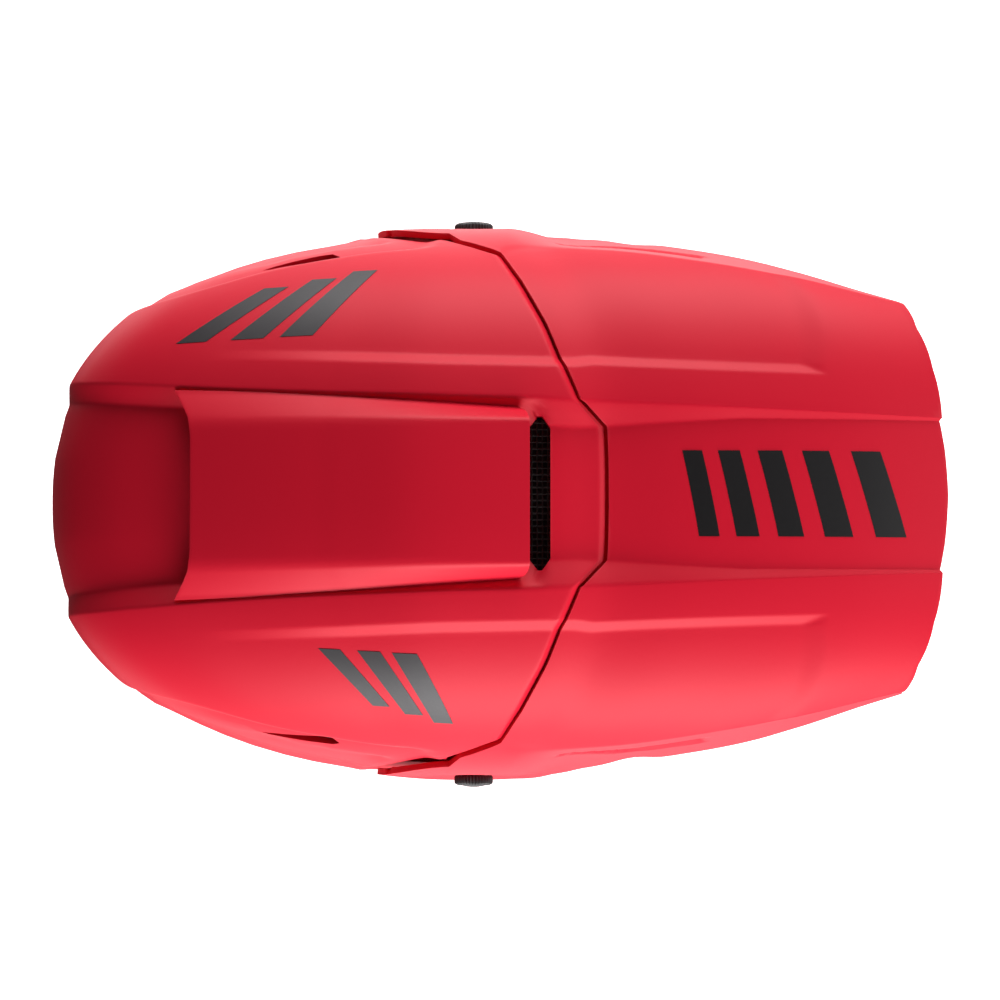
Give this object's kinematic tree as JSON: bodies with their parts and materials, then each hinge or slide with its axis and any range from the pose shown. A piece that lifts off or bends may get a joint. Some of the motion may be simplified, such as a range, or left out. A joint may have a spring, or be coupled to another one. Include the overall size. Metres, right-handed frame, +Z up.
{
  "type": "full-face bicycle helmet",
  "caption": "Full-face bicycle helmet with a chin bar, a tilting visor held by side thumb screws, a covered air duct along the crown and a buckled chin strap.",
  "frame": {"origin": "on the ground under the middle of the helmet's length and width, with the helmet standing on its rim", "axes": "+Z up, -Y towards the visor's front edge, +X towards the wearer's left"},
  "size_m": [0.2354, 0.3656, 0.2582],
  "materials": {
    "red_shell": "satin moulded red",
    "black_plastic": "fine grain",
    "rubber": "matte",
    "foam": "moulded bead foam",
    "fabric": "brushed knit",
    "webbing": "woven webbing",
    "steel": "satin",
    "brass": "machined",
    "vent_mesh": "open mesh"
  },
  "bodies": {
    "shell": {"outer_shell": "red_shell", "duct_cover": "red_shell", "eye_port_trim": "rubber", "neck_trim": "rubber", "duct_intake_mesh": "vent_mesh", "duct_outlet_mesh": "vent_mesh", "chin_vent_grille": "black_plastic", "chin_side_vent_left_grille": "black_plastic", "chin_side_vent_right_grille": "black_plastic", "side_slit_left_grille": "vent_mesh", "side_slit_right_grille": "vent_mesh", "visor_washer_left": "rubber", "visor_washer_right": "rubber", "visor_insert_left": "brass", "visor_insert_right": "brass", "eps_liner": "foam", "chin_bar_foam": "foam", "cheek_pad_left": "fabric", "cheek_pad_right": "fabric", "brow_pad": "fabric", "rear_pad": "fabric", "crown_pad": "fabric", "neck_roll": "fabric", "strap_rivet_left": "steel", "strap_rivet_right": "steel"},
    "visor": {"visor": "red_shell"},
    "knob_left": {"visor_knob_left": "black_plastic"},
    "knob_right": {"visor_knob_right": "black_plastic"},
    "chin_strap": {"chin_strap_left": "webbing", "chin_strap_right": "webbing", "strap_sleeve_left": "fabric", "strap_sleeve_right": "fabric", "d_ring_inner": "steel", "d_ring_outer": "steel", "strap_snap": "steel"}
  },
  "joints": [
    {"name": "visor_tilt", "type": "hinge", "parent": "shell", "child": "visor", "pos_m": [0, 0.00674, 0.152], "axis": [1, 0, 0], "range_deg": [0, 12]},
    {"name": "knob_left_turn", "type": "hinge", "parent": "shell", "child": "knob_left", "pos_m": [0.112, 0.00674, 0.152], "axis": [1, 0, 0], "continuous": true},
    {"name": "knob_right_turn", "type": "hinge", "parent": "shell", "child": "knob_right", "pos_m": [-0.112, 0.00674, 0.152], "axis": [1, 0, 0], "continuous": true},
    {"name": "strap_swing", "type": "hinge", "parent": "shell", "child": "chin_strap", "pos_m": [0, 0.02874, 0.072], "axis": [1, 0, 0], "range_deg": [-3, 8]}
  ]
}
